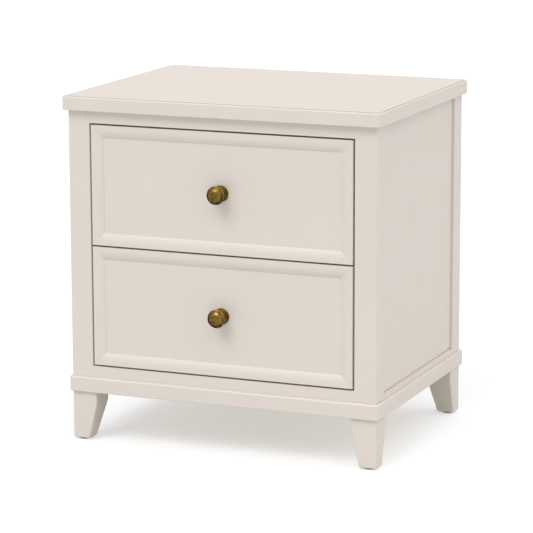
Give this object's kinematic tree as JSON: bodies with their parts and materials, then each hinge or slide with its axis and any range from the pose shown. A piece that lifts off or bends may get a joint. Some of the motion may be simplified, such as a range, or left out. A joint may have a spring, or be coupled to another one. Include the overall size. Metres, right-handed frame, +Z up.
{
  "type": "nightstand with drawers",
  "caption": "Nightstand in painted wood with a thick top, inset drawers with round brass knobs, a belt moulding round the base and tapered feet.",
  "frame": {"origin": "centre of the bounding box's foot, on the floor, with the knobs counted in the depth", "axes": "+Z up, -Y the way the drawers open, +X the user's right when facing the drawers"},
  "size_m": [0.584, 0.4726, 0.61],
  "materials": {
    "painted_wood": "sprayed satin paint, warm ivory, on solid wood and board",
    "plywood": "birch plywood and pine, clear lacquer",
    "back_board": "thin hardboard, painted to match",
    "zinc_steel": "zinc-plated rolled steel",
    "aged_brass": "antique brass, darkened in the hollows",
    "nylon": "moulded nylon, dark"
  },
  "bodies": {
    "case": {"top_panel": "painted_wood", "corner_post_front_left": "painted_wood", "corner_post_rear_left": "painted_wood", "corner_post_front_right": "painted_wood", "corner_post_rear_right": "painted_wood", "side_panel_left": "painted_wood", "side_lower_rail_left": "painted_wood", "slide_board_left": "plywood", "top_cleat_left": "plywood", "side_panel_right": "painted_wood", "side_lower_rail_right": "painted_wood", "slide_board_right": "plywood", "top_cleat_right": "plywood", "front_top_rail": "painted_wood", "front_bottom_rail": "painted_wood", "back_top_rail": "plywood", "back_bottom_rail": "plywood", "back_panel": "back_board", "base_panel": "plywood", "belt_front": "painted_wood", "belt_side_left": "painted_wood", "belt_rear_return_left": "painted_wood", "belt_side_right": "painted_wood", "belt_rear_return_right": "painted_wood", "tapered_foot_front_left": "painted_wood", "foot_glide_front_left": "nylon", "tapered_foot_rear_left": "painted_wood", "foot_glide_rear_left": "nylon", "tapered_foot_front_right": "painted_wood", "foot_glide_front_right": "nylon", "tapered_foot_rear_right": "painted_wood", "foot_glide_rear_right": "nylon", "lower_drawer_slide_outer_left": "zinc_steel", "lower_drawer_slide_outer_right": "zinc_steel", "upper_drawer_slide_outer_left": "zinc_steel", "upper_drawer_slide_outer_right": "zinc_steel"},
    "lower_drawer": {"lower_drawer_front": "painted_wood", "lower_drawer_box_left": "plywood", "lower_drawer_box_right": "plywood", "lower_drawer_box_front": "plywood", "lower_drawer_box_back": "plywood", "lower_drawer_box_bottom": "plywood", "lower_drawer_slide_inner_left": "zinc_steel", "lower_drawer_slide_inner_right": "zinc_steel", "lower_drawer_knob": "aged_brass", "lower_drawer_knob_screw": "zinc_steel"},
    "lower_slide_middles": {"lower_drawer_slide_middle_left": "zinc_steel", "lower_drawer_slide_middle_right": "zinc_steel"},
    "upper_drawer": {"upper_drawer_front": "painted_wood", "upper_drawer_box_left": "plywood", "upper_drawer_box_right": "plywood", "upper_drawer_box_front": "plywood", "upper_drawer_box_back": "plywood", "upper_drawer_box_bottom": "plywood", "upper_drawer_slide_inner_left": "zinc_steel", "upper_drawer_slide_inner_right": "zinc_steel", "upper_drawer_knob": "aged_brass", "upper_drawer_knob_screw": "zinc_steel"},
    "upper_slide_middles": {"upper_drawer_slide_middle_left": "zinc_steel", "upper_drawer_slide_middle_right": "zinc_steel"}
  },
  "joints": [
    {"name": "lower_drawer_slide", "type": "slide", "parent": "case", "child": "lower_drawer", "axis": [0, -1, 0], "range_m": [0, 0.35]},
    {"name": "lower_slide_middle_run", "type": "slide", "parent": "case", "child": "lower_slide_middles", "axis": [0, -1, 0], "range_m": [0, 0.175]},
    {"name": "upper_drawer_slide", "type": "slide", "parent": "case", "child": "upper_drawer", "axis": [0, -1, 0], "range_m": [0, 0.35]},
    {"name": "upper_slide_middle_run", "type": "slide", "parent": "case", "child": "upper_slide_middles", "axis": [0, -1, 0], "range_m": [0, 0.175]}
  ],
  "couplings": [
    {"joint": "lower_slide_middle_run", "follows": "lower_drawer_slide", "ratio": 0.5},
    {"joint": "upper_slide_middle_run", "follows": "upper_drawer_slide", "ratio": 0.5}
  ]
}
